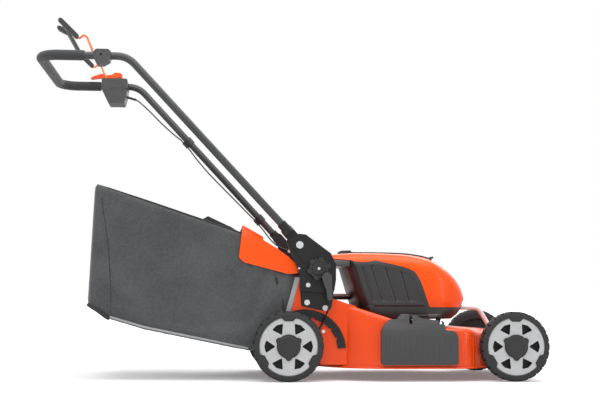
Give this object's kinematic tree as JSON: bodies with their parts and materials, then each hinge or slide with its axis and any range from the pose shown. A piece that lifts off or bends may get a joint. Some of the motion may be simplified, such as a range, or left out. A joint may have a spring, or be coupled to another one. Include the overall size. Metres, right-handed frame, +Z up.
{
  "type": "push lawn mower",
  "caption": "Walk-behind battery rotary mower: orange steel deck, moulded hood, side and rear outlets, grass bag, folding loop handle with bail, lobed-hub wheels on height-setting cranks.",
  "frame": {"origin": "on the ground under the middle of the whole mower's bounding box", "axes": "+X forward, from the handle to the nose; +Y to the mower's left; +Z up"},
  "size_m": [1.4888, 0.52, 1.0483],
  "materials": {
    "orange_steel": "gloss paint",
    "orange_plastic": "gloss",
    "dark_plastic": "satin",
    "black_plastic": "satin",
    "black_steel": "satin paint",
    "dark_tube": "satin paint",
    "silver_plastic": "satin",
    "grey_plastic": "satin",
    "frame_plastic": "satin",
    "tread_rubber": "matt",
    "foam_rubber": "matt foam",
    "cable_rubber": "satin",
    "zinc_steel": "zinc plated",
    "blade_steel": "satin",
    "cast_alloy": "painted casting",
    "orange_wire": "coated wire",
    "bag_cloth": "woven mesh"
  },
  "bodies": {
    "deck": {"deck_shell": "orange_steel", "rear_housing": "orange_steel", "bracket_right": "black_steel", "bracket_left": "black_steel", "height_quadrant": "black_steel", "axle_brackets": "black_steel", "hood_top": "orange_plastic", "hood_base": "dark_plastic", "vent_panels": "dark_plastic", "battery_pack": "black_plastic", "motor_housing": "cast_alloy", "flap_rod": "zinc_steel", "cover_hinge": "black_steel", "carry_handle": "grey_plastic", "deck_bolts": "zinc_steel", "pivot_bolts": "zinc_steel", "lower_cable": "cable_rubber"},
    "blade_set": {"motor_shaft": "zinc_steel", "blade_adapter": "cast_alloy", "blade": "blade_steel", "blade_bolt": "zinc_steel"},
    "rear_crank": {"rear_axle": "black_steel", "height_lever": "black_steel", "lever_grip": "dark_plastic"},
    "front_crank": {"front_axle": "black_steel"},
    "link": {"height_link": "black_steel"},
    "wheel_rear_right": {"tyre_rear_right": "tread_rubber", "hubcap_rear_right": "silver_plastic", "centre_cap_rear_right": "dark_plastic"},
    "wheel_rear_left": {"tyre_rear_left": "tread_rubber", "hubcap_rear_left": "silver_plastic", "centre_cap_rear_left": "dark_plastic"},
    "wheel_front_right": {"tyre_front_right": "tread_rubber", "hubcap_front_right": "silver_plastic", "centre_cap_front_right": "dark_plastic"},
    "wheel_front_left": {"tyre_front_left": "tread_rubber", "hubcap_front_left": "silver_plastic", "centre_cap_front_left": "dark_plastic"},
    "handle": {"handle_tube": "dark_tube", "foam_grip": "foam_rubber", "handle_ends": "black_steel", "bail_housing": "dark_plastic", "control_box": "dark_plastic", "control_box_base": "dark_plastic", "cable_clips": "black_plastic", "upper_cable": "cable_rubber"},
    "bail": {"bail_wire": "orange_wire", "bail_grip": "black_plastic"},
    "switch_lever": {"start_lever": "orange_plastic"},
    "clamp_right": {"knob_right": "black_plastic"},
    "clamp_left": {"knob_left": "black_plastic"},
    "flap": {"rear_flap": "orange_plastic"},
    "cover": {"side_cover": "dark_plastic"},
    "lid": {"battery_lid": "dark_plastic"},
    "bag": {"bag_fabric": "bag_cloth", "bag_frame": "frame_plastic", "bag_handle": "black_plastic"}
  },
  "joints": [
    {"name": "blade_spin", "type": "hinge", "parent": "deck", "child": "blade_set", "pos_m": [0.30938, 0, 0.056], "axis": [0, 0, 1], "continuous": true},
    {"name": "height_adjust", "type": "hinge", "parent": "deck", "child": "rear_crank", "pos_m": [0.03938, 0, 0.084], "axis": [0, 1, 0], "range_deg": [-36, 36]},
    {"name": "front_tilt", "type": "hinge", "parent": "deck", "child": "front_crank", "pos_m": [0.69438, 0, 0.084], "axis": [0, 1, 0], "range_deg": [-36, 36]},
    {"name": "link_swing", "type": "hinge", "parent": "rear_crank", "child": "link", "pos_m": [0.03938, 0.2015, 0.124], "axis": [0, 1, 0], "range_deg": [-36, 36]},
    {"name": "wheel_spin_rear_right", "type": "hinge", "parent": "rear_crank", "child": "wheel_rear_right", "pos_m": [-0.01062, -0.237, 0.1], "axis": [0, 1, 0], "continuous": true},
    {"name": "wheel_spin_rear_left", "type": "hinge", "parent": "rear_crank", "child": "wheel_rear_left", "pos_m": [-0.01062, 0.237, 0.1], "axis": [0, 1, 0], "continuous": true},
    {"name": "wheel_spin_front_right", "type": "hinge", "parent": "front_crank", "child": "wheel_front_right", "pos_m": [0.64438, -0.237, 0.1], "axis": [0, 1, 0], "continuous": true},
    {"name": "wheel_spin_front_left", "type": "hinge", "parent": "front_crank", "child": "wheel_front_left", "pos_m": [0.64438, 0.237, 0.1], "axis": [0, 1, 0], "continuous": true},
    {"name": "handle_fold", "type": "hinge", "parent": "deck", "child": "handle", "pos_m": [0.02238, 0, 0.389], "axis": [0, 1, 0], "range_deg": [0, 130]},
    {"name": "bail_press", "type": "hinge", "parent": "handle", "child": "bail", "pos_m": [-0.57838, 0, 0.93032], "axis": [0, -1, 0], "range_deg": [0, 36], "stiffness_Nm_per_rad": 0.6, "springref_deg": -68.75},
    {"name": "switch_press", "type": "hinge", "parent": "handle", "child": "switch_lever", "pos_m": [-0.53938, 0.216, 0.95132], "axis": [0, -1, 0], "range_deg": [0, 4], "stiffness_Nm_per_rad": 0.1, "springref_deg": -34.38},
    {"name": "clamp_turn_right", "type": "hinge", "parent": "deck", "child": "clamp_right", "pos_m": [0.07638, -0.228, 0.321], "axis": [0, -1, 0], "continuous": true},
    {"name": "clamp_turn_left", "type": "hinge", "parent": "deck", "child": "clamp_left", "pos_m": [0.07638, 0.228, 0.321], "axis": [0, 1, 0], "continuous": true},
    {"name": "flap_lift", "type": "hinge", "parent": "deck", "child": "flap", "pos_m": [0.02138, 0, 0.322], "axis": [0, 1, 0], "range_deg": [0, 70], "stiffness_Nm_per_rad": 0.8, "springref_deg": -28.65},
    {"name": "cover_lift", "type": "hinge", "parent": "deck", "child": "cover", "pos_m": [0.36438, -0.242, 0.187], "axis": [-1, 0, 0], "range_deg": [0, 80], "stiffness_Nm_per_rad": 0.2, "springref_deg": -34.38},
    {"name": "lid_open", "type": "hinge", "parent": "deck", "child": "lid", "pos_m": [0.44238, 0, 0.36134], "axis": [0, 1, 0], "range_deg": [0, 75]},
    {"name": "bag_draw", "type": "slide", "parent": "deck", "child": "bag", "axis": [-0.9563, 0, 0.2924], "range_m": [0, 0.3]}
  ],
  "couplings": [
    {"joint": "front_tilt", "follows": "height_adjust", "ratio": 1},
    {"joint": "link_swing", "follows": "height_adjust", "ratio": -1}
  ]
}
